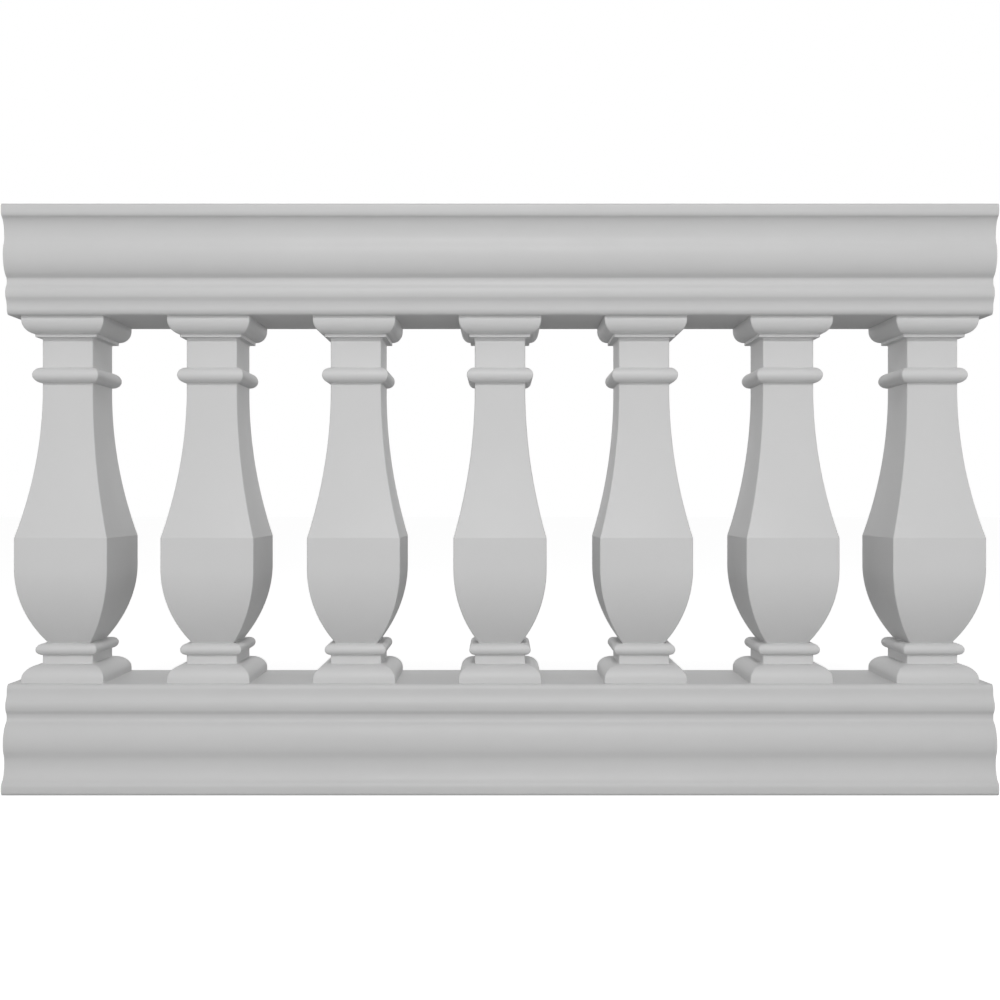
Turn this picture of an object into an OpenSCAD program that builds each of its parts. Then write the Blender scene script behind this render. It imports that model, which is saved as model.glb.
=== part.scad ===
// Fiberglass balustrade section: two hollow moulded rails with hollow square
// vase balusters clamped between them by steel tie rods.
// Millimetres, +Z up, X along the rails, origin on the floor under the middle.

/* [Overall] */
// Length of both rails, end to end
section_l = 1542; // [1512:1:1800]
// Height of the top of the handrail above the floor
guard_h = 916; // [900:1:1100]
// Number of balusters, evenly spaced
baluster_count = 7; // [3:1:7]
// Distance from a rail's end to the centreline of the end baluster
end_margin = 83; // [76:1:120]

/* [Rail moulding] */
// Full width of a rail across its outer band
rail_w = 211; // [205:1:240]
// Height of each rail
rail_h = 169; // [160:1:200]
// Height of the outer band, down to where its inner edge starts to round
band_h = 12; // [9:0.5:14]
// Radius on the outer edge of the band
band_round = 5; // [1:0.5:8]
// Part of the way from the band to the cove that the band's rounded inner edge takes
band_share = 0.22; // [0.1:0.01:0.3]
// Turn of the oval arcs between the band and the cove: the more, the steeper they meet
band_curl = 74; // [20:1:80]
// Depth of the cove at its deepest
cove_d = 12.6; // [10:0.2:14]
// Distance from the outer edge to the bottom of the cove
cove_t = 48.2; // [42:0.2:54]
// Part of the way from the cove to the big round that is hollow
cove_share = 0.45; // [0.3:0.01:0.7]
// Turn of the oval arcs between the cove and the big round
cove_curl = 55; // [20:1:80]
// Depth of the big round at its crest
round_d = 6.9; // [5:0.1:9]
// Distance from the outer edge to the crest of the big round
round_t = 77; // [70:1:84]
// Part of the way from the big round to the quirk that is rounded
round_share = 0.85; // [0.5:0.01:0.9]
// Turn of the oval arcs between the big round and the quirk
round_curl = 71; // [20:1:80]
// Depth of the quirk between the big round and the bead
quirk_d = 22.2; // [20:0.2:24]
// Distance from the inner edge to the bottom of the quirk
quirk_t = 52.5; // [48:0.5:56]
// Part of the way from the quirk to the bead that is hollow
quirk_share = 0.44; // [0.3:0.01:0.7]
// Turn of the oval arcs between the quirk and the bead
quirk_curl = 67; // [20:1:80]
// Depth of the bead at its crest
bead_d = 16.2; // [13:0.1:18]
// Distance from the inner edge to the crest of the bead
bead_t = 33; // [29:0.5:36]
// Part of the way from the bead to the flat band that is rounded
bead_share = 0.4; // [0.3:0.01:0.7]
// Turn of the oval arcs between the bead and the flat band
bead_curl = 64; // [20:1:80]
// Depth of the flat band beside the balusters
flat_d = 22.2; // [20:0.2:24]
// Height of the flat band, down to the inner edge
flat_h = 11; // [9:0.5:14]
// Width of the oval round on the inner edge of the rail
inner_round_w = 6; // [2:0.5:9]
// Height of that oval round
inner_round_h = 9.5; // [3:0.5:12]

/* [Laminate] */
// Wall thickness of the rail mouldings
rail_wall = 5; // [4:0.5:7]
// Thickness of the rim behind the outer band
rim_wall = 12; // [10:0.5:14]
// Thickness of the web that the balusters bolt to
web_t = 6; // [5:0.5:12]
// Wall thickness of the balusters
baluster_wall = 4; // [3:0.5:6]
// Thickness of a baluster's closed ends
baluster_end_t = 6; // [5:0.5:12]
// Top skin of the handrail cover
cover_t = 6; // [5:0.5:9]
// Thickness of the cover's down-turned lips
cover_lip = 5.5; // [5:0.5:7]
// Thickness of the plates that close the rail ends
end_plate_t = 8; // [6:0.5:15]
// Glue gap between bonded mouldings
bond_gap = 0.5; // [0.2:0.1:1]

/* [Baluster] */
// Width of the cap and of the plinth
cap_w = 130.2; // [124:0.2:134]
// How much deeper than wide a baluster is
extra_depth = 16.4; // [0:0.2:24]
// Width of the neck
neck_w = 80.4; // [74:0.2:86]
// Height of the plinth's vertical band
plinth_band_h = 6.6; // [4:0.2:10]
// Height of the quarter round on the plinth
plinth_round_h = 21; // [16:0.5:26]
// Width of the lower ring
lower_ring_w = 97.6; // [92:0.5:106]
// Radius of the lower ring
lower_ring_r = 9; // [8:0.1:11]
// Height of the lower ring's centre above the plinth's underside
lower_ring_z = 50.6; // [48:0.2:60]
// Width of the foot where the belly meets the lower ring
foot_w = 66.8; // [60:0.2:74]
// Width of the belly
belly_w = 146; // [136:0.2:156]
// Height where the belly turns inward
belly_turn_z = 180; // [160:1:200]
// Height of the crease across the belly
crease_z = 228.5; // [210:0.5:240]
// Length of straight neck between the upper ring and the flare
neck_below_ring = 8; // [4:0.5:40]
// Radius of the upper ring
upper_ring_r = 12.3; // [9:0.1:14]
// Distance from the top of the cap down to the upper ring's centre
upper_ring_drop = 91.4; // [85:0.2:96]
// Height of the cap's vertical band
cap_band_h = 4.8; // [3:0.2:14]
// Height of the cap's quarter round
cap_round_h = 21.6; // [12:0.2:26]
// Height of the small square band under the cap
cap_fillet_h = 5; // [2:0.2:8]
// How far that small band stands out from the neck
cap_fillet_out = 8.6; // [5:0.2:12]
// Radius of the small cove under the cap
cap_cove_r = 3; // [1:0.2:5]

/* [Fixings] */
// Diameter of the tie rods
rod_d = 12; // [8:1:16]
// Clearance around a rod in its hole
rod_gap = 1; // [0.5:0.25:2]
// Diameter of the washers
washer_d = 44; // [30:1:60]
// Thickness of the washers
washer_t = 3; // [2:0.5:5]
// Size of the nuts across their flats
nut_af = 19; // [17:1:24]
// Height of the nuts
nut_h = 10; // [8:0.5:14]
// Length of thread past a nut
thread_out = 8; // [2:1:12]
// Diameter of the bolt holes in the end plates
bolt_hole_d = 11; // [9:1:14]
// Spacing of the bolt holes across the rail
bolt_span_y = 90; // [60:1:110]
// Spacing of the bolt holes up the rail
bolt_span_z = 70; // [50:1:90]

/* [Hidden] */
EPS = 1;                  // how far a cutting shape runs past what it cuts
HOLE_FN = 48;
BAND_STEPS = 7;           // chords in each arc between the band and the cove
BARS = [for (i = [1:baluster_count]) i];

baluster_h = guard_h - 2 * rail_h;
baluster_pitch = (section_l - 2 * end_margin) / (baluster_count - 1);
rail_half = rail_w / 2;
flat_half = rail_half - flat_d;
cap_half = cap_w / 2;
neck_half = neck_w / 2;
belly_half = belly_w / 2;
foot_half = foot_w / 2;
hole_r = rod_d / 2 + rod_gap;
gelcoat = [0.78, 0.78, 0.775];
steel = [0.62, 0.64, 0.66];

function bar_x(i) = (i - (baluster_count + 1) / 2) * baluster_pitch;

// Points along an arc, both ends included, as [across, up]. Its height may differ from its width.
function oval_arc(cx, cz, rx, rz, from, to, steps) =
    [for (s = [0:steps]) let (a = from + (to - from) * s / steps) [cx + rx * cos(a), cz + rz * sin(a)]];

function arc(cx, cz, r, from, to, steps) = oval_arc(cx, cz, r, r, from, to, steps);

function mirrored(side) = concat(side, [for (k = [len(side) - 1:-1:0]) [-side[k][0], side[k][1]]]);

// The first arc of an S between two upright tangents, without its first point. The S runs from p
// to q, and its two oval arcs meet on the line between them, at the given share of the way. Each
// is curl degrees of its oval, counted from the oval's side.
function ogee_start(p, q, share, curl, steps) =
    let (wide = share * (q[0] - p[0]) / (1 - cos(curl)), tall = share * (q[1] - p[1]) / sin(curl))
    [for (s = [1:steps]) let (a = curl * s / steps) [p[0] + wide * (1 - cos(a)), p[1] + tall * sin(a)]];

// The whole S, without its first point: its second arc is its first one seen from the other end.
function ogee(p, q, share, curl, steps) =
    let (back = ogee_start(q, p, 1 - share, curl, steps))
    concat(ogee_start(p, q, share, curl, steps), [for (k = [steps - 2:-1:0]) back[k]], [q]);

// ---- Rails: a side is drawn as [half width, distance from the outer edge] ----

band_edge = [rail_half, band_h];
cove_bottom = [rail_half - cove_d, cove_t];
round_crest = [rail_half - round_d, round_t];
quirk_bottom = [rail_half - quirk_d, rail_h - quirk_t];
bead_crest = [rail_half - bead_d, rail_h - bead_t];
flat_edge = [flat_half, rail_h - flat_h];

// The cover ends where the band's rounded edge meets the cove.
seam_t = band_h + band_share * (cove_t - band_h);

function outer_edge() = concat(arc(rail_half - band_round, band_round, band_round, -90, 0, 5), [band_edge]);

// From the band to where the cove begins.
function band_to_seam() = ogee_start(band_edge, cove_bottom, band_share, band_curl, BAND_STEPS);

// The moulded face, from behind the outer band to the flat band.
function moulding() = concat(
    ogee(band_edge, cove_bottom, band_share, band_curl, BAND_STEPS),
    ogee(cove_bottom, round_crest, cove_share, cove_curl, 4),
    ogee(round_crest, quirk_bottom, round_share, round_curl, 8),
    ogee(quirk_bottom, bead_crest, quirk_share, quirk_curl, 5),
    ogee(bead_crest, flat_edge, bead_share, bead_curl, 5));

// The round on the inner edge is no higher than the flat band.
function rail_side() =
    let (round_h = min(inner_round_h, flat_h))
    concat(
        outer_edge(),
        moulding(),
        oval_arc(flat_half - inner_round_w, rail_h - round_h, inner_round_w, round_h, 0, 90, 8));

// The inside face runs one wall behind the moulded face, past the thicker rim.
function cavity_side() =
    let (rim_half = rail_half - rim_wall)
    concat(
        [[rim_half, -EPS], [rim_half, seam_t]],
        [for (p = moulding()) if (p[0] - rail_wall < rim_half) [p[0] - rail_wall, p[1]]],
        [[flat_half - rail_wall, rail_h - web_t]]);

// Turns a [half width, distance] outline into a bar along X, outer edge down.
module along_x(length) {
    rotate([90, 0, 90]) linear_extrude(height = length, center = true) children();
}

// The same, standing for the top rail: outer edge up, at handrail height.
module turned_over() {
    translate([0, 0, guard_h]) mirror([0, 0, 1]) children();
}

module rail_moulding() {
    difference() {
        along_x(section_l) polygon(mirrored(rail_side()));
        along_x(section_l + 2 * EPS) polygon(mirrored(cavity_side()));
        for (i = BARS) translate([bar_x(i), 0, rail_h - web_t - EPS])
            cylinder(r = hole_r, h = web_t + 2 * EPS, $fn = HOLE_FN);
    }
}

module bottom_rail() { color(gelcoat) rail_moulding(); }

// The top rail is rebated so that the cover's lips lap over its edges.
module top_rail() {
    tongue_w = rail_w - 2 * (cover_lip + bond_gap);
    color(gelcoat) turned_over() difference() {
        rail_moulding();
        translate([0, 0, cover_t / 2 - EPS / 2])
            cube([section_l + 2 * EPS, rail_w + 2 * EPS, cover_t + EPS], center = true);
        for (side = [-1, 1]) translate([0, side * (tongue_w / 2 + rail_w / 2), seam_t / 2])
            cube([section_l + 2 * EPS, rail_w, seam_t], center = true);
    }
}

module handrail_cover() {
    trough_w = rail_w - 2 * cover_lip;
    trough_h = seam_t - cover_t + EPS;
    color(gelcoat) turned_over() difference() {
        along_x(section_l)
            polygon(mirrored(concat(outer_edge(), band_to_seam())));
        translate([0, 0, cover_t + trough_h / 2])
            cube([section_l + 2 * EPS, trough_w, trough_h], center = true);
    }
}

// A plate that closes a rail's end, glued inside the moulding against its web.
// It starts at the given distance from the rail's outer edge.
module end_plate(start) {
    side = [for (p = cavity_side()) if (p[1] > seam_t) [p[0] - bond_gap, p[1]]];
    difference() {
        along_x(end_plate_t) polygon(mirrored(concat([[side[0][0], start]], side)));
        for (y = [-0.5, 0.5], z = [-0.5, 0.5])
            translate([0, y * bolt_span_y, rail_h / 2 + z * bolt_span_z]) rotate([0, 90, 0])
                cylinder(d = bolt_hole_d, h = end_plate_t + 2 * EPS, center = true, $fn = HOLE_FN);
    }
}

module rail_end(side, start) {
    translate([side * (section_l - end_plate_t) / 2, 0, 0]) end_plate(start);
}

module bottom_rail_end_left() { color(gelcoat) rail_end(-1, 0); }
module bottom_rail_end_right() { color(gelcoat) rail_end(1, 0); }
module top_rail_end_left() { color(gelcoat) turned_over() rail_end(-1, cover_t); }
module top_rail_end_right() { color(gelcoat) turned_over() rail_end(1, cover_t); }

// ---- Balusters: a side is drawn as [half width, height above the plinth's underside] ----

upper_ring_z = baluster_h - upper_ring_drop;

// The flare is an arc that leaves the neck upright and ends on the crease.
flare_z = upper_ring_z - upper_ring_r - neck_below_ring;
flare_out = belly_half - neck_half;
flare_h = flare_z - crease_z;
flare_r = (flare_out * flare_out + flare_h * flare_h) / (2 * flare_out);
flare_cx = neck_half + flare_r;

// The belly is an arc that leaves the upright side and ends on the foot.
foot_z = lower_ring_z + lower_ring_r;
belly_in = belly_half - foot_half;
belly_h = belly_turn_z - foot_z;
belly_r = (belly_in * belly_in + belly_h * belly_h) / (2 * belly_in);
belly_cx = belly_half - belly_r;

// The lower ring is a half round that ends where it meets the neck below and the foot above.
lower_ring_cx = lower_ring_w / 2 - lower_ring_r;
function ring_meets(half) = acos(min(1, max(0, (half - lower_ring_cx) / lower_ring_r)));

cap_fillet_half = neck_half + cap_fillet_out;
cap_round_z = baluster_h - cap_band_h;
cap_fillet_z = cap_round_z - cap_round_h - cap_fillet_h;

function vase_side() = concat(
    [[cap_half, 0]],
    oval_arc(neck_half, plinth_band_h, cap_half - neck_half, plinth_round_h, 0, 90, 10),
    arc(lower_ring_cx, lower_ring_z, lower_ring_r, -ring_meets(neck_half), ring_meets(foot_half), 16),
    arc(belly_cx, belly_turn_z, belly_r, -asin(belly_h / belly_r), 0, 16),
    [[belly_half, crease_z]],
    [for (s = [15:-1:0]) let (a = asin(flare_h / flare_r) * s / 16)
        [flare_cx - flare_r * cos(a), flare_z - flare_r * sin(a)]],
    arc(neck_half, upper_ring_z, upper_ring_r, -90, 90, 18),
    arc(neck_half + cap_cove_r, cap_fillet_z - cap_cove_r, cap_cove_r, 180, 90, 8),
    [[cap_fillet_half, cap_fillet_z], [cap_fillet_half, cap_fillet_z + cap_fillet_h]],
    oval_arc(cap_fillet_half, cap_round_z, cap_half - cap_fillet_half, cap_round_h, -90, 0, 10),
    [[cap_half, baluster_h]]);

// The inside follows the neck, the flare, the belly and the foot, one wall in.
function hollow_side() =
    let (foot_in = foot_half - baluster_wall, neck_in = neck_half - baluster_wall,
         belly_in = belly_half - baluster_wall, bend_r = belly_r - baluster_wall,
         sweep_r = flare_r + baluster_wall,
         foot_a = acos((foot_in - belly_cx) / bend_r), crease_a = acos((flare_cx - belly_in) / sweep_r))
    concat(
        [[foot_in, baluster_end_t]],
        arc(belly_cx, belly_turn_z, bend_r, -foot_a, 0, 8),
        [for (s = [8:-1:0]) let (a = crease_a * s / 8)
            [flare_cx - sweep_r * cos(a), flare_z - sweep_r * sin(a)]],
        [[neck_in, baluster_h - baluster_end_t]]);

function widened(side, by) = [for (p = side) [p[0] + by, p[1]]];

// A square-section form: its front outline and its side outline, crossed.
module square_form(side) {
    reach = belly_w + extra_depth + cap_w;
    intersection() {
        rotate([90, 0, 0]) linear_extrude(height = reach, center = true)
            polygon(mirrored(side));
        rotate([90, 0, 90]) linear_extrude(height = reach, center = true)
            polygon(mirrored(widened(side, extra_depth / 2)));
    }
}

module baluster(i) {
    color(gelcoat) translate([bar_x(i), 0, rail_h]) difference() {
        square_form(vase_side());
        square_form(hollow_side());
        translate([0, 0, -EPS]) cylinder(r = hole_r, h = baluster_h + 2 * EPS, $fn = HOLE_FN);
    }
}

// ---- Tie rods: each clamps its baluster between the webs of the two rails ----

module nut_and_washer() {
    cylinder(d = washer_d, h = washer_t, $fn = HOLE_FN);
    translate([0, 0, washer_t]) cylinder(d = nut_af / cos(30), h = nut_h, $fn = 6);
}

module tie_rod(i) {
    grip = baluster_h + 2 * web_t;
    tail = washer_t + nut_h + thread_out;
    color(steel) translate([bar_x(i), 0, guard_h / 2]) union() {
        cylinder(d = rod_d, h = grip + 2 * tail, center = true, $fn = HOLE_FN);
        for (end = [0, 1]) mirror([0, 0, end]) translate([0, 0, grip / 2]) nut_and_washer();
    }
}

bottom_rail();
top_rail();
handrail_cover();
bottom_rail_end_left();
bottom_rail_end_right();
top_rail_end_left();
top_rail_end_right();
for (i = BARS) baluster(i);
for (i = BARS) tie_rod(i);
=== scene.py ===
"""Looks of a moulded fiberglass balustrade section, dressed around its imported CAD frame.

Lengths are metres in the row frame: +X along the rails, +Y from front to back, +Z up.
"""
import logging
import math
from dataclasses import dataclass
from enum import Enum

import bpy
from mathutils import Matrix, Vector


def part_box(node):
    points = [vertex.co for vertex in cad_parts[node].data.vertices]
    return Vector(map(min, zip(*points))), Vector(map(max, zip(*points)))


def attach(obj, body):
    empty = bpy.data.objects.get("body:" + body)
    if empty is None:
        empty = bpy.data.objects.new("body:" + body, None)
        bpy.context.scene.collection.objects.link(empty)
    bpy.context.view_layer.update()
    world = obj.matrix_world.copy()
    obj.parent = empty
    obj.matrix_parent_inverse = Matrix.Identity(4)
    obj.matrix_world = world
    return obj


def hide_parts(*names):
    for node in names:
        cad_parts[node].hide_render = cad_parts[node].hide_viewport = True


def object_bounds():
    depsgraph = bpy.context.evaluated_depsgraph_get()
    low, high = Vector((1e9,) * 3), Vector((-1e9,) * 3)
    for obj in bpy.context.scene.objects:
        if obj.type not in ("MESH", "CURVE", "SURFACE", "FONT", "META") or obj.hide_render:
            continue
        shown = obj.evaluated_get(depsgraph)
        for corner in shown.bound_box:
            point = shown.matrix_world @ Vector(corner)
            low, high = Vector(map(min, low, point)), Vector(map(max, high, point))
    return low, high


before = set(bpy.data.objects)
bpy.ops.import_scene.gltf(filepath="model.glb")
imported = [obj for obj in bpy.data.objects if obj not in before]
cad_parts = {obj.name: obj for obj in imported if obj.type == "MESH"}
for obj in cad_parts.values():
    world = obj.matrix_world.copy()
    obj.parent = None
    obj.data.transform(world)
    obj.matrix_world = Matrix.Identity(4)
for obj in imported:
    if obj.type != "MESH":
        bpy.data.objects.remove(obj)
CAD_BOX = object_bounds()

LOG = logging.getLogger("balustrade")
BODY = "root"
BALUSTER_COUNT = sum(name.startswith("baluster_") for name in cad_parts)
MM = 0.001
RAIL_GREY = 0.605
# Painted light: the balusters carry the rails' gelcoat painted lighter, to make up for the shade that the
# rails' overhang casts on them.
BALUSTER_GREY_WITH_PAINTED_LIGHT = 0.65

Point = tuple[float, float]
Colour = tuple[float, float, float, float]
Skin = tuple[list[Vector], list[tuple[int, ...]]]
Sockets = dict[str, bpy.types.NodeSocket]


class Slot(Enum):
    """The record's material slots."""

    GELCOAT = "gelcoat"
    ZINC = "galvanized_steel"


# ---------------------------------------------------------------- shader nodes


def add_node(tree: bpy.types.NodeTree, kind: str, inputs: dict | None = None,
             **settings: object) -> bpy.types.Node:
    """Adds a node, sets it up and joins its inputs.

    Args:
        tree: The node tree that gets the node.
        kind: The node's type name.
        inputs: Input name or number to a value, or to the output socket that feeds it.
        settings: Attributes of the node itself.

    Returns:
        The new node.
    """
    node = tree.nodes.new(kind)
    for name, value in settings.items():
        setattr(node, name, value)
    for key, value in (inputs or {}).items():
        if isinstance(value, bpy.types.NodeSocket):
            tree.links.new(value, node.inputs[key])
        else:
            node.inputs[key].default_value = value
    return node


def calculate(tree: bpy.types.NodeTree, operation: str, *terms: object) -> bpy.types.NodeSocket:
    """Adds a Math node.

    Args:
        tree: The node tree that gets the node.
        operation: The Math node's operation.
        terms: Its operands, as numbers or output sockets.

    Returns:
        The node's output socket.
    """
    node = add_node(tree, "ShaderNodeMath", dict(enumerate(terms)), operation=operation)
    return node.outputs[0]


def map_range(tree: bpy.types.NodeTree, value: bpy.types.NodeSocket, low: float, high: float,
              to_low: object, to_high: object) -> bpy.types.NodeSocket:
    """Adds a clamped Map Range node.

    Args:
        tree: The node tree that gets the node.
        value: The socket to map.
        low: The value that maps to to_low.
        high: The value that maps to to_high.
        to_low: The result at low, as a number or a socket.
        to_high: The result at high, as a number or a socket.

    Returns:
        The node's output socket.
    """
    terms = {"Value": value, "From Min": low, "From Max": high, "To Min": to_low, "To Max": to_high}
    return add_node(tree, "ShaderNodeMapRange", terms, clamp=True).outputs["Result"]


def mix_colour(tree: bpy.types.NodeTree, share: object, first: object,
               second: object) -> bpy.types.NodeSocket:
    """Adds a colour Mix node.

    Args:
        tree: The node tree that gets the node.
        share: How much of the second colour shows, from 0 to 1.
        first: The first colour, or the socket that gives it.
        second: The second colour, or the socket that gives it.

    Returns:
        The mixed colour's socket.
    """
    node = add_node(tree, "ShaderNodeMix", {0: share, 6: first, 7: second}, data_type="RGBA")
    return node.outputs[2]


class Effect:
    """A surface effect that several materials use, kept as one shader node group."""

    name = "effect"
    inputs: dict[str, float] = {}
    outputs: tuple[str, ...] = ("Value",)

    def draw(self, tree: bpy.types.NodeTree, given: bpy.types.NodeOutputs) -> Sockets:
        """Fills the group.

        Args:
            tree: The group's node tree.
            given: The sockets that carry the group's inputs.

        Returns:
            Output name to the socket that feeds it.
        """
        raise NotImplementedError

    def group(self) -> bpy.types.NodeTree:
        """Builds the group the first time and returns it."""
        tree = bpy.data.node_groups.get(self.name)
        if tree is not None:
            return tree
        tree = bpy.data.node_groups.new(self.name, "ShaderNodeTree")
        for label, value in self.inputs.items():
            socket = tree.interface.new_socket(name=label, in_out="INPUT", socket_type="NodeSocketFloat")
            socket.default_value = value
        for label in self.outputs:
            tree.interface.new_socket(name=label, in_out="OUTPUT", socket_type="NodeSocketFloat")
        given = tree.nodes.new("NodeGroupInput").outputs
        tree_out = tree.nodes.new("NodeGroupOutput")
        for label, socket in self.draw(tree, given).items():
            tree.links.new(socket, tree_out.inputs[label])
        return tree

    def place(self, tree: bpy.types.NodeTree, **values: float) -> bpy.types.NodeOutputs:
        """Puts the group in a material.

        Args:
            tree: The material's node tree.
            values: The group's inputs, with underscores for spaces.

        Returns:
            The group node's outputs.
        """
        node = add_node(tree, "ShaderNodeGroup", node_tree=self.group())
        for label, value in values.items():
            node.inputs[label.replace("_", " ").title()].default_value = value
        return node.outputs


class Mottle(Effect):
    """Slow, soft change of tone or gloss, as a hand-sprayed or hand-rubbed surface has."""

    name = "mottle"
    inputs = {"Scale": 6.0, "Spread": 0.5}
    middle = 0.5

    def draw(self, tree: bpy.types.NodeTree, given: bpy.types.NodeOutputs) -> Sockets:
        """Fills the group. See Effect.draw."""
        place = add_node(tree, "ShaderNodeTexCoord").outputs["Object"]
        broad = add_node(tree, "ShaderNodeTexNoise", {
            "Vector": place, "Scale": given["Scale"], "Detail": 5.0, "Roughness": 0.6}).outputs[0]
        away = calculate(tree, "SUBTRACT", broad, self.middle)
        spread = calculate(tree, "MULTIPLY", away, given["Spread"])
        return {"Value": calculate(tree, "ADD", spread, self.middle)}


class OrangePeel(Effect):
    """Fine rounded unevenness of a sprayed coat, in metres of height."""

    name = "orange_peel"
    inputs = {"Scale": 220.0, "Depth": 0.02 * MM}
    outputs = ("Height",)
    wave_scale = 0.12
    wave_weight = 2.5

    def draw(self, tree: bpy.types.NodeTree, given: bpy.types.NodeOutputs) -> Sockets:
        """Fills the group. See Effect.draw."""
        place = add_node(tree, "ShaderNodeTexCoord").outputs["Object"]
        fine = add_node(tree, "ShaderNodeTexNoise", {
            "Vector": place, "Scale": given["Scale"], "Detail": 2.0, "Roughness": 0.45}).outputs[0]
        broad_scale = calculate(tree, "MULTIPLY", given["Scale"], self.wave_scale)
        broad = add_node(tree, "ShaderNodeTexNoise", {
            "Vector": place, "Scale": broad_scale, "Detail": 1.0}).outputs[0]
        wavy = calculate(tree, "MULTIPLY", broad, self.wave_weight)
        both = calculate(tree, "ADD", fine, wavy)
        return {"Height": calculate(tree, "MULTIPLY", both, given["Depth"])}


class ChoppedStrand(Effect):
    """Short glass strands lying every way in resin, as the raw back of a laminate shows."""

    name = "chopped_strand"
    inputs = {"Length": 30 * MM, "Width": 1.2 * MM}
    outputs = ("Strands",)
    turns = (0.0, 0.62, 1.21, 1.83, 2.49)
    turn_axis = (0.35, 0.5, 0.79)
    layer_shift = (7.3, 3.1, 5.7)
    strand_edge = (0.56, 0.68)

    def draw(self, tree: bpy.types.NodeTree, given: bpy.types.NodeOutputs) -> Sockets:
        """Fills the group. See Effect.draw."""
        place = add_node(tree, "ShaderNodeTexCoord").outputs["Object"]
        along = calculate(tree, "DIVIDE", 1.0, given["Length"])
        across = calculate(tree, "DIVIDE", 1.0, given["Width"])
        sized = add_node(tree, "ShaderNodeCombineXYZ", {0: along, 1: across, 2: across}).outputs[0]
        total = None
        for number, turn in enumerate(self.turns):
            turned = add_node(tree, "ShaderNodeVectorRotate", {
                "Vector": place, "Axis": self.turn_axis, "Angle": turn}).outputs[0]
            stretched = add_node(tree, "ShaderNodeVectorMath", {
                0: turned, 1: sized}, operation="MULTIPLY").outputs[0]
            shift = tuple(number * s for s in self.layer_shift)
            moved = add_node(tree, "ShaderNodeVectorMath", {
                0: stretched, 1: shift}, operation="ADD").outputs[0]
            noise = add_node(tree, "ShaderNodeTexNoise", {
                "Vector": moved, "Scale": 1.0, "Detail": 0.0}).outputs[0]
            strand = map_range(tree, noise, *self.strand_edge, 0.0, 1.0)
            total = strand if total is None else calculate(tree, "MAXIMUM", total, strand)
        return {"Strands": total}


class RawSide(Effect):
    """1 where a face looks into the hollow of the bottom rail, and 0 on its moulded faces.

    A side wall counts when it faces the middle, and the web when it faces down between the walls.
    """

    name = "raw_side"
    inputs = {"Web Half": 78 * MM, "Above Rims": 100 * MM, "Below Top Rail": 300 * MM}
    outputs = ("Mask",)
    faces_middle = -0.02
    faces_down = -0.98

    def draw(self, tree: bpy.types.NodeTree, given: bpy.types.NodeOutputs) -> Sockets:
        """Fills the group. See Effect.draw."""
        shape = add_node(tree, "ShaderNodeNewGeometry").outputs
        spot = add_node(tree, "ShaderNodeSeparateXYZ", {0: shape["Position"]}).outputs
        facing = add_node(tree, "ShaderNodeSeparateXYZ", {0: shape["True Normal"]}).outputs
        outward = calculate(tree, "MULTIPLY", spot["Y"], facing["Y"])
        inward = calculate(tree, "LESS_THAN", outward, self.faces_middle)
        middle = calculate(tree, "LESS_THAN", calculate(tree, "ABSOLUTE", spot["Y"]), given["Web Half"])
        down = calculate(tree, "LESS_THAN", facing["Z"], self.faces_down)
        raised = calculate(tree, "GREATER_THAN", spot["Z"], given["Above Rims"])
        under_web = calculate(tree, "MULTIPLY", calculate(tree, "MULTIPLY", middle, down), raised)
        low = calculate(tree, "LESS_THAN", spot["Z"], given["Below Top Rail"])
        return {"Mask": calculate(tree, "MULTIPLY", calculate(tree, "MAXIMUM", inward, under_web), low)}


# ------------------------------------------------------------------- finishes


@dataclass(frozen=True)
class Gelcoat:
    """Smooth sprayed gelcoat, with raw laminate where a face looks into a hollow."""

    grey: float = RAIL_GREY
    tone_scale: float = 5.0
    tone_change: float = 0.035
    roughness: float = 0.5
    gloss_scale: float = 17.0
    gloss_ends: tuple[float, float] = (0.2, 0.8)
    gloss_change: float = 0.12
    specular: float = 0.35
    peel_scale: float = 260.0
    peel_depth: float = 0.012 * MM
    resin: Colour = (0.46, 0.44, 0.36, 1.0)
    strand: Colour = (0.66, 0.65, 0.58, 1.0)
    strand_depth: float = 0.25 * MM
    raw_rougher: float = 0.12

    def shade(self, change: float) -> Colour:
        """The gelcoat's colour, made lighter or darker.

        Args:
            change: The share of the tone to add, below 0 for a darker one.

        Returns:
            The colour.
        """
        tone = self.grey * (1 + change)
        return (tone, tone, tone, 1.0)

    def material(self, name: str, raw: bool) -> bpy.types.Material:
        """Makes the material.

        Args:
            name: The material's name.
            raw: Whether faces that look into a hollow show raw laminate.

        Returns:
            The new material.
        """
        made, tree, shader = new_material(name)
        tone = Mottle().place(tree, scale=self.tone_scale, spread=1.0)["Value"]
        colour = mix_colour(tree, tone, self.shade(-self.tone_change), self.shade(self.tone_change))
        gloss = Mottle().place(tree, scale=self.gloss_scale, spread=1.0)["Value"]
        rough = map_range(tree, gloss, *self.gloss_ends, self.roughness - self.gloss_change / 2,
                          self.roughness + self.gloss_change / 2)
        height = OrangePeel().place(tree, scale=self.peel_scale, depth=self.peel_depth)["Height"]
        if raw:
            mask = RawSide().place(tree)["Mask"]
            strands = ChoppedStrand().place(tree)["Strands"]
            inside = mix_colour(tree, strands, self.resin, self.strand)
            colour = mix_colour(tree, mask, colour, inside)
            rough = calculate(tree, "ADD", rough, calculate(tree, "MULTIPLY", mask, self.raw_rougher))
            raised = calculate(tree, "MULTIPLY", strands, mask)
            relief = calculate(tree, "MULTIPLY", raised, self.strand_depth)
            height = calculate(tree, "ADD", height, relief)
        tree.links.new(colour, shader.inputs["Base Color"])
        tree.links.new(rough, shader.inputs["Roughness"])
        shader.inputs["Specular IOR Level"].default_value = self.specular
        join_bump(tree, shader, height)
        return made


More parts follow.
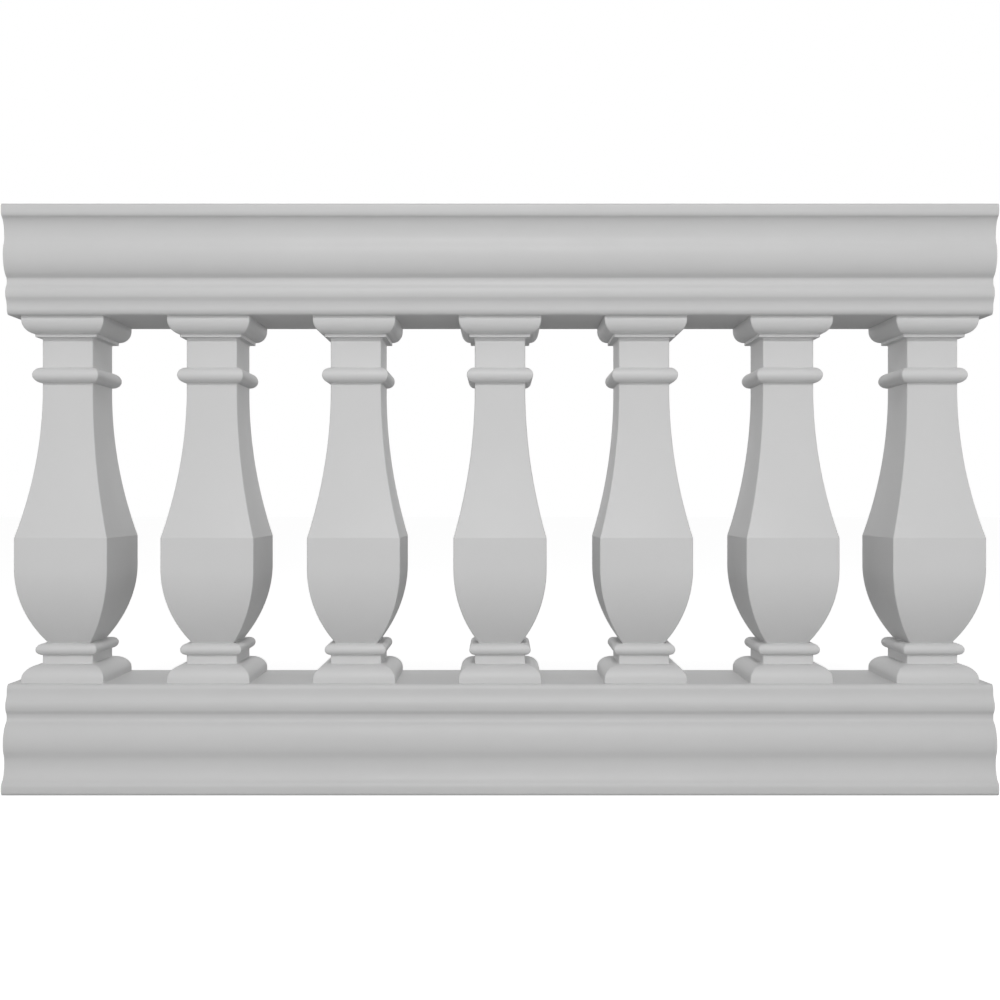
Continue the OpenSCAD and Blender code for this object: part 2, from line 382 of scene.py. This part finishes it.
@dataclass(frozen=True)
class Zinc:
    """Dull zinc plating with a fine crystal pattern."""

    bright: Colour = (0.62, 0.64, 0.66, 1.0)
    dull: Colour = (0.48, 0.5, 0.52, 1.0)
    crystal_scale: float = 420.0
    tone_scale: float = 40.0
    tone_spread: float = 1.4
    dull_roughness: float = 0.54
    bright_roughness: float = 0.32
    grain_scale: float = 900.0
    grain_depth: float = 0.01 * MM

    def material(self, name: str) -> bpy.types.Material:
        """Makes the material.

        Args:
            name: The material's name.

        Returns:
            The new material.
        """
        made, tree, shader = new_material(name)
        place = add_node(tree, "ShaderNodeTexCoord").outputs["Object"]
        cells = add_node(tree, "ShaderNodeTexVoronoi", {
            "Vector": place, "Scale": self.crystal_scale}).outputs["Color"]
        crystal = add_node(tree, "ShaderNodeSeparateXYZ", {0: cells}).outputs["X"]
        tone = Mottle().place(tree, scale=self.tone_scale, spread=self.tone_spread)["Value"]
        share = calculate(tree, "DIVIDE", calculate(tree, "ADD", crystal, tone), 2.0)
        tree.links.new(mix_colour(tree, share, self.dull, self.bright), shader.inputs["Base Color"])
        rough = map_range(tree, share, 0.0, 1.0, self.dull_roughness, self.bright_roughness)
        tree.links.new(rough, shader.inputs["Roughness"])
        shader.inputs["Metallic"].default_value = 1.0
        height = OrangePeel().place(tree, scale=self.grain_scale, depth=self.grain_depth)["Height"]
        join_bump(tree, shader, height)
        return made


def new_material(name: str) -> tuple[bpy.types.Material, bpy.types.NodeTree, bpy.types.Node]:
    """Makes a material that holds one Principled shader.

    Args:
        name: The material's name.

    Returns:
        The material, its node tree and its shader node.
    """
    made = bpy.data.materials.new(name)
    made.use_nodes = True
    tree = made.node_tree
    return made, tree, tree.nodes["Principled BSDF"]


def join_bump(tree: bpy.types.NodeTree, shader: bpy.types.Node, height: bpy.types.NodeSocket) -> None:
    """Feeds a height in metres to a shader's normal.

    Args:
        tree: The material's node tree.
        shader: The shader node.
        height: The socket that gives the height.
    """
    bump = add_node(tree, "ShaderNodeBump", {"Strength": 1.0, "Distance": 1.0, "Height": height})
    tree.links.new(bump.outputs["Normal"], shader.inputs["Normal"])


# ---------------------------------------------------------------- mesh helpers


def piece_from_mesh(name: str, skin: Skin, material: bpy.types.Material) -> bpy.types.Object:
    """Makes an object that rides on the section.

    Args:
        name: The object's name.
        skin: The mesh's points, and each face as numbers of its points.
        material: The material on it.

    Returns:
        The new object.
    """
    corners, faces = skin
    mesh = bpy.data.meshes.new(name)
    mesh.from_pydata([tuple(c) for c in corners], [], faces)
    mesh.validate()
    mesh.materials.append(material)
    made = bpy.data.objects.new(name, mesh)
    bpy.context.scene.collection.objects.link(made)
    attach(made, BODY)
    return made


def ring_skin(rings: list[list[Vector]]) -> Skin:
    """Joins rings of points into a closed skin with flat ends.

    Args:
        rings: The rings from the bottom up, all with as many points.

    Returns:
        The points and the faces.
    """
    around = len(rings[0])
    corners = [corner for ring in rings for corner in ring]
    faces: list[tuple[int, ...]] = [tuple(reversed(range(around)))]
    for row in range(len(rings) - 1):
        for k in range(around):
            a, b = row * around + k, row * around + (k + 1) % around
            faces.append((a, b, b + around, a + around))
    faces.append(tuple(range(len(corners) - around, len(corners))))
    return corners, faces


def turned_ring(radii: list[float], heights: list[float]) -> list[Vector]:
    """A ring of points evenly spaced round the upright axis.

    Args:
        radii: Each point's distance from the axis.
        heights: Each point's height.

    Returns:
        The points, counterclockwise from above.
    """
    turns = [math.tau * k / len(radii) for k in range(len(radii))]
    return [Vector((r * math.cos(t), r * math.sin(t), z)) for t, r, z in zip(turns, radii, heights)]


def arc(across: float, up: float, wide: float, high: float, start: float, end: float,
        steps: int) -> list[Point]:
    """Points along an upright oval arc, both ends included.

    Args:
        across: The centre's distance from the axis.
        up: The centre's height.
        wide: The half width of the oval.
        high: The half height of the oval.
        start: The first angle in degrees, from straight out and turning upward.
        end: The last angle in degrees.
        steps: How many chords it has.

    Returns:
        The points as (across, up).
    """
    angles = [math.radians(start + (end - start) * s / steps) for s in range(steps + 1)]
    return [(across + wide * math.cos(a), up + high * math.sin(a)) for a in angles]


def eased(outline: list[Point], radius: float, sharp: float = 30.0, steps: int = 3) -> list[Point]:
    """Rounds the sharp corners of an outline.

    Args:
        outline: The outline's points.
        radius: The distance from a corner at which its rounding starts, where the sides are long enough.
        sharp: The least turn, in degrees, that counts as a corner.
        steps: How many chords each rounding has.

    Returns:
        The outline with rounded corners.
    """
    out = [outline[0]]
    for before, here, after in zip(outline, outline[1:], outline[2:]):
        b, h, a = Vector(before), Vector(here), Vector(after)
        turn = math.degrees((h - b).angle(a - h))
        if turn < sharp:
            out.append(here)
            continue
        reach = min(radius, (h - b).length * 0.45, (a - h).length * 0.45)
        p, q = h + (b - h).normalized() * reach, h + (a - h).normalized() * reach
        for s in range(steps + 1):
            t = s / steps
            spot = p * (1 - t) ** 2 + h * 2 * t * (1 - t) + q * t ** 2
            out.append((spot.x, spot.y))
    out.append(outline[-1])
    return out


def mark_smooth(made: bpy.types.Object, limit: float) -> None:
    """Shades a new piece smooth, except across sharp edges.

    Args:
        made: The piece.
        limit: The least angle between faces, in degrees, that stays sharp.
    """
    made.data.shade_smooth()
    made.data.set_sharp_from_angle(angle=math.radians(limit))


def smooth_by_angle(limit: float) -> bpy.types.NodeTree:
    """A modifier group that shades smooth except across sharp edges.

    Args:
        limit: The least angle between faces, in degrees, that stays sharp.

    Returns:
        The geometry node group.
    """
    name = f"smooth_by_{limit:.0f}_degrees"
    if name in bpy.data.node_groups:
        return bpy.data.node_groups[name]
    tree = bpy.data.node_groups.new(name, "GeometryNodeTree")
    tree.interface.new_socket(name="Geometry", in_out="INPUT", socket_type="NodeSocketGeometry")
    tree.interface.new_socket(name="Geometry", in_out="OUTPUT", socket_type="NodeSocketGeometry")
    given = tree.nodes.new("NodeGroupInput").outputs
    angle = add_node(tree, "GeometryNodeInputMeshEdgeAngle").outputs["Unsigned Angle"]
    gentle = add_node(tree, "FunctionNodeCompare", {
        0: angle, 1: math.radians(limit)}, operation="LESS_THAN").outputs[0]
    faces = add_node(tree, "GeometryNodeSetShadeSmooth", {
        "Geometry": given[0], "Shade Smooth": True}, domain="FACE").outputs[0]
    edges = add_node(tree, "GeometryNodeSetShadeSmooth", {
        "Geometry": faces, "Shade Smooth": gentle}, domain="EDGE").outputs[0]
    tree.links.new(edges, tree.nodes.new("NodeGroupOutput").inputs[0])
    return tree


# ------------------------------------------------------------- sub-assemblies


@dataclass
class VaseBalusters:
    """The row of vase balusters: square in section, with mitred rings and lightly rounded arrises."""

    material: bpy.types.Material
    count: int = BALUSTER_COUNT
    neck_half: float = 40.2 * MM
    deeper: float = 8.2 * MM
    plinth_band: float = 6.6 * MM
    plinth_round: float = 21.0 * MM
    lower_ring_half: float = 48.8 * MM
    lower_ring_r: float = 9.0 * MM
    lower_ring_z: float = 50.6 * MM
    foot_half: float = 33.4 * MM
    belly_turn_z: float = 180.0 * MM
    crease_z: float = 228.5 * MM
    neck_below_ring: float = 8.0 * MM
    upper_ring_r: float = 12.3 * MM
    upper_ring_drop: float = 91.4 * MM
    cap_half: float = 65.1 * MM
    cap_band: float = 4.8 * MM
    cap_round: float = 21.6 * MM
    cap_fillet: float = 5.0 * MM
    cap_fillet_out: float = 8.6 * MM
    cap_cove: float = 3.0 * MM
    arris: float = 2.0 * MM
    edge: float = 0.7 * MM
    smooth_limit: float = 14.0
    arris_chords: int = 5
    plinth_chords: int = 14
    lower_ring_chords: int = 18
    belly_chords: int = 28
    flare_chords: int = 30
    upper_ring_chords: int = 20
    cove_chords: int = 6
    cap_chords: int = 12

    def belly_arc(self, belly_half: float) -> list[Point]:
        """The belly's outline from the foot up to where its side stands upright.

        Args:
            belly_half: Half the belly's width.

        Returns:
            Points as (half width, height).
        """
        foot_z = self.lower_ring_z + self.lower_ring_r
        inward, drop = belly_half - self.foot_half, self.belly_turn_z - foot_z
        radius = (inward ** 2 + drop ** 2) / (2 * inward)
        bend = math.degrees(math.asin(drop / radius))
        return arc(belly_half - radius, self.belly_turn_z, radius, radius, -bend, 0, self.belly_chords)

    def flare_arc(self, belly_half: float, ring_z: float) -> list[Point]:
        """The flare's outline from the crease up to where it joins the straight neck.

        Args:
            belly_half: Half the belly's width.
            ring_z: The height of the upper ring's middle.

        Returns:
            Points as (half width, height).
        """
        top = ring_z - self.upper_ring_r - self.neck_below_ring
        outward, rise = belly_half - self.neck_half, top - self.crease_z
        radius = (outward ** 2 + rise ** 2) / (2 * outward)
        bend = math.degrees(math.asin(rise / radius))
        return arc(self.neck_half + radius, top, radius, radius, 180 + bend, 180, self.flare_chords)

    def outline(self, height: float, belly_half: float) -> list[Point]:
        """One side of the front view, from the plinth's underside to the top of the cap.

        Args:
            height: The baluster's height.
            belly_half: Half the belly's width.

        Returns:
            Points as (half width, height).
        """
        ring_z, ring_r = height - self.upper_ring_drop, self.upper_ring_r
        low_r, low_x = self.lower_ring_r, self.lower_ring_half - self.lower_ring_r
        under = math.degrees(math.acos((self.neck_half - low_x) / low_r))
        foot_out, cove_r = self.cap_half - self.neck_half, self.cap_cove
        fillet_half = self.neck_half + self.cap_fillet_out
        round_z = height - self.cap_band
        fillet_z = round_z - self.cap_round - self.cap_fillet
        cap_out = self.cap_half - fillet_half
        return [
            (self.cap_half, 0.0),
            *arc(self.neck_half, self.plinth_band, foot_out, self.plinth_round, 0, 90, self.plinth_chords),
            *arc(low_x, self.lower_ring_z, low_r, low_r, -under, 90, self.lower_ring_chords),
            *self.belly_arc(belly_half),
            *self.flare_arc(belly_half, ring_z),
            *arc(self.neck_half, ring_z, ring_r, ring_r, -90, 90, self.upper_ring_chords),
            *arc(self.neck_half + cove_r, fillet_z - cove_r, cove_r, cove_r, 180, 90, self.cove_chords),
            (fillet_half, fillet_z),
            (fillet_half, fillet_z + self.cap_fillet),
            *arc(fillet_half, round_z, cap_out, self.cap_round, -90, 0, self.cap_chords)[1:],
            (self.cap_half, height)]

    def level(self, half: float) -> list[Point]:
        """A level's plan: a rectangle with rounded corners.

        Args:
            half: Half its width along the rail.

        Returns:
            Points round it as (x, y), counterclockwise from above.
        """
        deep = half + self.deeper
        out: list[Point] = []
        for quarter, (sx, sy) in enumerate(((1, 1), (-1, 1), (-1, -1), (1, -1))):
            cx, cy = sx * (half - self.arris), sy * (deep - self.arris)
            out += arc(cx, cy, self.arris, self.arris, quarter * 90, quarter * 90 + 90, self.arris_chords)
        return out

    def build_one(self, number: int) -> bpy.types.Object:
        """Makes one baluster in place of its CAD node.

        Args:
            number: Which baluster, counted from the left.

        Returns:
            The new piece.
        """
        low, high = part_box(f"baluster_{number}")
        x, belly_half = (low.x + high.x) / 2, (high.x - low.x) / 2
        side = eased(self.outline(high.z - low.z, belly_half), self.edge)
        rings = [[Vector((x + px, py, low.z + z)) for px, py in self.level(half)] for half, z in side]
        made = piece_from_mesh(f"baluster_moulding_{number}", ring_skin(rings), self.material)
        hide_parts(f"baluster_{number}")
        mark_smooth(made, self.smooth_limit)
        return made

    def build(self) -> None:
        """Makes the whole row."""
        for number in range(1, self.count + 1):
            made = self.build_one(number)
            LOG.info("%s: %d faces", made.name, len(made.data.polygons))


@dataclass
class Rails:
    """The rail mouldings, the handrail cover and the end plates, which keep their CAD solids."""

    material: bpy.types.Material
    shells: tuple[str, ...] = ("bottom_rail", "top_rail", "handrail_cover")
    plates: tuple[str, ...] = ("bottom_rail_end_left", "bottom_rail_end_right",
                               "top_rail_end_left", "top_rail_end_right")
    edge: float = 0.5 * MM
    edge_segments: int = 2
    edge_limit: float = 28.0
    weld_gap: float = 0.01 * MM
    flat_limit: float = 0.4
    smooth_limit: float = 20.0

    def dress(self, name: str) -> None:
        """Eases and paints one CAD node.

        Args:
            name: The node's name.
        """
        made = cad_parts[name]
        weld = made.modifiers.new("weld", "WELD")
        weld.merge_threshold = self.weld_gap
        flat = made.modifiers.new("flat_faces", "DECIMATE")
        flat.decimate_type = "DISSOLVE"
        flat.angle_limit = math.radians(self.flat_limit)
        ease = made.modifiers.new("eased_edges", "BEVEL")
        ease.width = self.edge
        ease.segments = self.edge_segments
        ease.limit_method = "ANGLE"
        ease.angle_limit = math.radians(self.edge_limit)
        ease.use_clamp_overlap = False
        shade = made.modifiers.new("smooth_faces", "NODES")
        shade.node_group = smooth_by_angle(self.smooth_limit)
        made.data.materials.clear()
        made.data.materials.append(self.material)
        LOG.info("%s: dressed", name)

    def build(self) -> None:
        """Dresses every rail piece."""
        for name in self.shells + self.plates:
            self.dress(name)


@dataclass
class TieRods:
    """Threaded rods with a washer and a nut at each end, in place of the plain CAD ones."""

    material: bpy.types.Material
    count: int = BALUSTER_COUNT
    rod_r: float = 6.0 * MM
    thread_depth: float = 0.95 * MM
    pitch: float = 1.75 * MM
    thread_l: float = 21.0 * MM
    washer_r: float = 22.0 * MM
    washer_t: float = 3.0 * MM
    nut_af: float = 19.0 * MM
    nut_h: float = 10.0 * MM
    nut_face_share: float = 0.96
    nut_chamfer: float = 30.0
    washer_ease: float = 0.4 * MM
    smooth_limit: float = 35.0
    shank_chords: int = 36
    thread_levels: int = 8
    rim_chords: int = 72

    def shank(self, length: float) -> Skin:
        """The rod, with a helical thread at each end and a plain middle.

        Args:
            length: The rod's whole length.

        Returns:
            The points and the faces, with the rod's middle at height 0.
        """
        half, step = length / 2, self.pitch / self.thread_levels
        near = [half - k * step for k in range(int(self.thread_l / step) + 1)]
        rings = []
        for z in sorted([-z for z in near] + near):
            depth = min(1.0, (half - abs(z)) / self.pitch)
            threaded = abs(z) > half - self.thread_l + self.pitch
            radii = []
            for k in range(self.shank_chords):
                phase = (z / self.pitch - k / self.shank_chords) % 1.0
                cut = abs(2 * phase - 1) if threaded else 0.0
                radii.append(self.rod_r - self.thread_depth * (cut * depth + (1 - depth)))
            rings.append(turned_ring(radii, [z] * self.shank_chords))
        return ring_skin(rings)

    def washer(self, z: float) -> Skin:
        """A washer with eased rims.

        Args:
            z: The height of its lower face.

        Returns:
            The points and the faces.
        """
        radius, thick, ease, count = self.washer_r, self.washer_t, self.washer_ease, self.rim_chords
        rim = [(radius - ease, 0.0), (radius, ease), (radius, thick - ease), (radius - ease, thick)]
        return ring_skin([turned_ring([r] * count, [z + up] * count) for r, up in rim])

    def nut(self, z: float) -> Skin:
        """A hexagon nut, with its corners chamfered on a cone.

        Args:
            z: The height of its lower face.

        Returns:
            The points and the faces.
        """
        count, flat_r, top = self.rim_chords, self.nut_af / 2, z + self.nut_h
        face_r, sixth = flat_r * self.nut_face_share, math.tau / 6
        turns = [math.tau * k / count for k in range(count)]
        hexagon = [flat_r / math.cos((t % sixth) - sixth / 2) for t in turns]
        drop = [(r - face_r) * math.tan(math.radians(self.nut_chamfer)) for r in hexagon]
        return ring_skin([
            turned_ring([face_r] * count, [z] * count),
            turned_ring(hexagon, [z + d for d in drop]),
            turned_ring(hexagon, [top - d for d in drop]),
            turned_ring([face_r] * count, [top] * count)])

    def build_one(self, number: int) -> bpy.types.Object:
        """Makes one rod with its washers and nuts in place of its CAD node.

        Args:
            number: Which rod, counted from the left.

        Returns:
            The new piece.
        """
        low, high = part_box(f"tie_rod_{number}")
        middle, length = (low + high) / 2, high.z - low.z
        washer_z = length / 2 - self.thread_l
        nut_z = washer_z + self.washer_t
        parts = [self.shank(length),
                 self.washer(-washer_z - self.washer_t), self.nut(-nut_z - self.nut_h),
                 self.washer(washer_z), self.nut(nut_z)]
        corners: list[Vector] = []
        faces: list[tuple[int, ...]] = []
        for part_corners, part_faces in parts:
            start = len(corners)
            corners += [c + middle for c in part_corners]
            faces += [tuple(v + start for v in face) for face in part_faces]
        made = piece_from_mesh(f"tie_rod_set_{number}", (corners, faces), self.material)
        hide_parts(f"tie_rod_{number}")
        mark_smooth(made, self.smooth_limit)
        return made

    def build(self) -> None:
        """Makes every rod."""
        for number in range(1, self.count + 1):
            LOG.info("%s: made", self.build_one(number).name)


# --------------------------------------------------------------------- studio


@dataclass(frozen=True)
class Lamp:
    """A soft square lamp."""

    name: str
    power: float
    size: float
    place: tuple[float, float, float]

    def hang(self, aim: Vector) -> None:
        """Makes the lamp.

        Args:
            aim: The point that it is turned to.
        """
        data = bpy.data.lights.new(self.name, "AREA")
        data.energy = self.power
        data.shape = "SQUARE"
        data.size = self.size
        made = bpy.data.objects.new(self.name, data)
        made.location = self.place
        made.rotation_mode = "QUATERNION"
        made.rotation_quaternion = (aim - made.location).to_track_quat("-Z", "Y")
        bpy.context.scene.collection.objects.link(made)


@dataclass
class Studio:
    """A pale floor, soft light all round with a brighter low backdrop, and three soft lamps in front.

    The light's strength in a direction goes from ambient to backdrop. It changes over backdrop_side as the
    direction turns from the front to the back, and over backdrop_top as it comes down to level.
    """

    ambient: float = 0.28
    backdrop: float = 1.6
    backdrop_side: tuple[float, float] = (-0.3, 0.3)
    backdrop_top: tuple[float, float] = (0.45, 0.05)
    lamps: tuple[Lamp, ...] = (
        Lamp("main_lamp", power=95.0, size=0.6, place=(0.0, -4.1, 3.5)),
        Lamp("left_fill", power=25.0, size=1.6, place=(-2.6, -3.9, 0.9)),
        Lamp("right_fill", power=25.0, size=1.6, place=(2.6, -3.9, 0.9)))
    floor_half: float = 30.0
    floor_tone: float = 0.62
    shown_tone: float = 0.55
    shown_glow: float = 0.8

    def world(self) -> None:
        """Makes the light all round: white to the camera and in reflections, and softer elsewhere."""
        world = bpy.data.worlds.new("studio")
        bpy.context.scene.world = world
        world.use_nodes = True
        tree = world.node_tree
        tree.nodes.clear()
        path = add_node(tree, "ShaderNodeLightPath").outputs
        shiny = calculate(tree, "MAXIMUM", path["Is Glossy Ray"], path["Is Transmission Ray"])
        seen = calculate(tree, "MAXIMUM", path["Is Camera Ray"], shiny)
        direction = add_node(tree, "ShaderNodeTexCoord").outputs["Generated"]
        way = add_node(tree, "ShaderNodeSeparateXYZ", {0: direction}).outputs
        behind = map_range(tree, way["Y"], *self.backdrop_side, 0.0, 1.0)
        low = map_range(tree, way["Z"], *self.backdrop_top, 0.0, 1.0)
        share = calculate(tree, "MULTIPLY", behind, low)
        soft = map_range(tree, share, 0.0, 1.0, self.ambient, self.backdrop)
        strength = map_range(tree, seen, 0.0, 1.0, soft, 1.0)
        back = add_node(tree, "ShaderNodeBackground", {"Color": (1, 1, 1, 1), "Strength": strength})
        out = tree.nodes.new("ShaderNodeOutputWorld")
        tree.links.new(back.outputs[0], out.inputs["Surface"])

    def floor(self, height: float) -> bpy.types.Object:
        """A white floor that keeps a soft shadow.

        Args:
            height: The floor's height.

        Returns:
            The floor.
        """
        mesh = bpy.data.meshes.new("floor")
        h = self.floor_half
        corners = [(x, y, height) for x, y in ((-h, -h), (h, -h), (h, h), (-h, h))]
        mesh.from_pydata(corners, [], [(0, 1, 2, 3)])
        made = bpy.data.objects.new("floor", mesh)
        bpy.context.scene.collection.objects.link(made)
        material = bpy.data.materials.new("pale_floor")
        material.use_nodes = True
        tree = material.node_tree
        tree.nodes.clear()
        seen = add_node(tree, "ShaderNodeLightPath").outputs["Is Camera Ray"]
        tone = mix_colour(tree, seen, (self.floor_tone,) * 3 + (1,), (self.shown_tone,) * 3 + (1,))
        shaded = add_node(tree, "ShaderNodeBsdfDiffuse", {"Color": tone})
        glow = add_node(tree, "ShaderNodeEmission", {
            "Color": (1, 1, 1, 1), "Strength": calculate(tree, "MULTIPLY", seen, self.shown_glow)})
        both = add_node(tree, "ShaderNodeAddShader", {0: shaded.outputs[0], 1: glow.outputs[0]})
        out = tree.nodes.new("ShaderNodeOutputMaterial")
        tree.links.new(both.outputs[0], out.inputs["Surface"])
        mesh.materials.append(material)
        return made

    def build(self) -> None:
        """Sets the light, the floor and the plain view."""
        low, high = CAD_BOX
        self.world()
        self.floor(low.z)
        for lamp in self.lamps:
            lamp.hang((low + high) / 2)
        bpy.context.scene.view_settings.view_transform = "Standard"


@dataclass
class FrontCamera:
    """A camera square on to the front, a hair below the middle of its height."""

    distance: float = 1.864
    drop: float = 0.8 * MM
    field: float = 45.0

    def build(self) -> None:
        """Makes the camera."""
        low, high = CAD_BOX
        data = bpy.data.cameras.new("camera")
        data.sensor_fit = "HORIZONTAL"
        data.angle = math.radians(self.field)
        made = bpy.data.objects.new("camera", data)
        made.location = ((low.x + high.x) / 2, low.y - self.distance, (low.z + high.z) / 2 - self.drop)
        made.rotation_euler = (math.radians(90), 0, 0)
        bpy.context.scene.collection.objects.link(made)
        bpy.context.scene.camera = made


def main() -> None:
    """Builds the studio, the camera and every piece."""
    logging.basicConfig(level=logging.INFO, format="%(name)s: %(message)s")
    FrontCamera().build()
    Studio().build()
    Rails(Gelcoat().material("gelcoat_on_laminate", raw=True)).build()
    # The balusters' lighter grey is painted light that offsets the shade under the rails, not a different
    # gelcoat.
    VaseBalusters(Gelcoat(grey=BALUSTER_GREY_WITH_PAINTED_LIGHT).material("gelcoat_plain", raw=False)).build()
    TieRods(Zinc().material("zinc_plated")).build()


if __name__ == "__main__":
    main()
